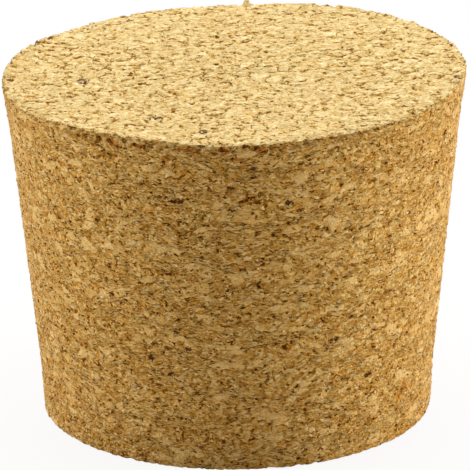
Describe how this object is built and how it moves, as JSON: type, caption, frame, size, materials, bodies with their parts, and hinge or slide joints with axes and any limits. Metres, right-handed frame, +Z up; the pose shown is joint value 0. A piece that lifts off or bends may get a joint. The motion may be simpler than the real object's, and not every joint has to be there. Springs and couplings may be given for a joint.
{
  "type": "cork stopper",
  "caption": "Tapered round stopper of bonded cork granules that plugs the neck of a jar, flask or bottle.",
  "frame": {"origin": "centre of the narrow end's flat face, which the stopper stands on", "axes": "+Z up the stopper's axis, from the narrow end to the wide end; +X towards the side where the wide end's slanted cut is highest"},
  "size_m": [0.0499, 0.05, 0.0386],
  "materials": {
    "cork": null
  },
  "bodies": {
    "root": {"stopper": "cork"}
  },
  "joints": []
}
